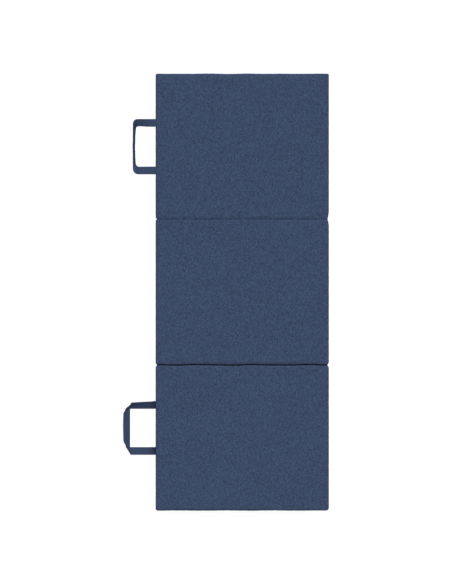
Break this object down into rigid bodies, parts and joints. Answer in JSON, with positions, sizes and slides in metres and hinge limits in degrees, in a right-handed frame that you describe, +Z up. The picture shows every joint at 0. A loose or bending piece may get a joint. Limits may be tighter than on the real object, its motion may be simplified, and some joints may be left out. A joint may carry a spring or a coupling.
{
  "type": "folding gym mat",
  "caption": "Folding foam gym mat with sewn cloth covers, hinge strips between its panels, webbing carry handles and recessed side zips.",
  "frame": {"origin": "centre of the middle panel's underside, on the floor", "axes": "+Y along the opened mat towards the head panel, +Z up out of the floor, and the handles on the -X side"},
  "size_m": [0.859, 1.829, 0.05],
  "materials": {
    "cover_cloth": "matte",
    "webbing": "matte",
    "foam": "matte",
    "zip_tape": "matte",
    "zip_coil": "satin",
    "zip_metal": "satin"
  },
  "bodies": {
    "head_panel": {"head_foam_core": "foam", "head_top_sheet": "cover_cloth", "head_side_band": "cover_cloth", "head_bottom_sheet": "cover_cloth", "head_zip_facing_upper": "cover_cloth", "head_zip_facing_lower": "cover_cloth", "head_zip_tape_upper": "zip_tape", "head_zip_tape_lower": "zip_tape", "head_zip_coil_upper": "zip_coil", "head_zip_coil_lower": "zip_coil", "head_zip_stops": "zip_metal", "head_handle_anchors": "webbing"},
    "middle_panel": {"middle_foam_core": "foam", "middle_top_sheet": "cover_cloth", "middle_side_band": "cover_cloth", "middle_bottom_sheet": "cover_cloth", "middle_zip_facing_upper": "cover_cloth", "middle_zip_facing_lower": "cover_cloth", "middle_zip_tape_upper": "zip_tape", "middle_zip_tape_lower": "zip_tape", "middle_zip_coil_upper": "zip_coil", "middle_zip_coil_lower": "zip_coil", "middle_zip_stops": "zip_metal", "head_hinge_strip": "cover_cloth", "foot_hinge_strip": "cover_cloth"},
    "foot_panel": {"foot_foam_core": "foam", "foot_top_sheet": "cover_cloth", "foot_side_band": "cover_cloth", "foot_bottom_sheet": "cover_cloth", "foot_zip_facing_upper": "cover_cloth", "foot_zip_facing_lower": "cover_cloth", "foot_zip_tape_upper": "zip_tape", "foot_zip_tape_lower": "zip_tape", "foot_zip_coil_upper": "zip_coil", "foot_zip_coil_lower": "zip_coil", "foot_zip_stops": "zip_metal", "foot_handle_anchors": "webbing"},
    "head_handle": {"head_handle": "webbing"},
    "foot_handle": {"foot_handle": "webbing"},
    "head_zip_slider": {"head_zip_slider": "zip_metal"},
    "head_zip_pull": {"head_zip_pull": "zip_metal"},
    "middle_zip_slider": {"middle_zip_slider": "zip_metal"},
    "middle_zip_pull": {"middle_zip_pull": "zip_metal"},
    "foot_zip_slider": {"foot_zip_slider": "zip_metal"},
    "foot_zip_pull": {"foot_zip_pull": "zip_metal"}
  },
  "joints": [
    {"name": "head_fold", "type": "hinge", "parent": "head_panel", "child": "middle_panel", "pos_m": [0, 0.3055, 0.0505], "axis": [-1, 0, 0], "range_deg": [0, 180], "deforming": ["head_hinge_strip"]},
    {"name": "foot_fold", "type": "hinge", "parent": "middle_panel", "child": "foot_panel", "pos_m": [0, -0.3055, -0.0005], "axis": [1, 0, 0], "range_deg": [0, 180], "deforming": ["foot_hinge_strip"]},
    {"name": "head_handle_swing", "type": "hinge", "parent": "head_panel", "child": "head_handle", "pos_m": [-0.364, 0.607, 0.0475], "axis": [0, 1, 0], "range_deg": [-60, 85]},
    {"name": "foot_handle_swing", "type": "hinge", "parent": "foot_panel", "child": "foot_handle", "pos_m": [-0.364, -0.573, 0.0025], "axis": [0, 1, 0], "range_deg": [-80, 80]},
    {"name": "head_zip_slide", "type": "slide", "parent": "head_panel", "child": "head_zip_slider", "axis": [0, -1, 0], "range_m": [0, 0.494]},
    {"name": "head_zip_pull_swing", "type": "hinge", "parent": "head_zip_slider", "child": "head_zip_pull", "pos_m": [0.3595, 0.8582, 0.025], "axis": [0, 0, 1], "range_deg": [0, 175]},
    {"name": "middle_zip_slide", "type": "slide", "parent": "middle_panel", "child": "middle_zip_slider", "axis": [0, -1, 0], "range_m": [0, 0.494]},
    {"name": "middle_zip_pull_swing", "type": "hinge", "parent": "middle_zip_slider", "child": "middle_zip_pull", "pos_m": [0.3595, 0.2472, 0.025], "axis": [0, 0, 1], "range_deg": [0, 175]},
    {"name": "foot_zip_slide", "type": "slide", "parent": "foot_panel", "child": "foot_zip_slider", "axis": [0, -1, 0], "range_m": [0, 0.494]},
    {"name": "foot_zip_pull_swing", "type": "hinge", "parent": "foot_zip_slider", "child": "foot_zip_pull", "pos_m": [0.3595, -0.3638, 0.025], "axis": [0, 0, 1], "range_deg": [0, 175]}
  ]
}
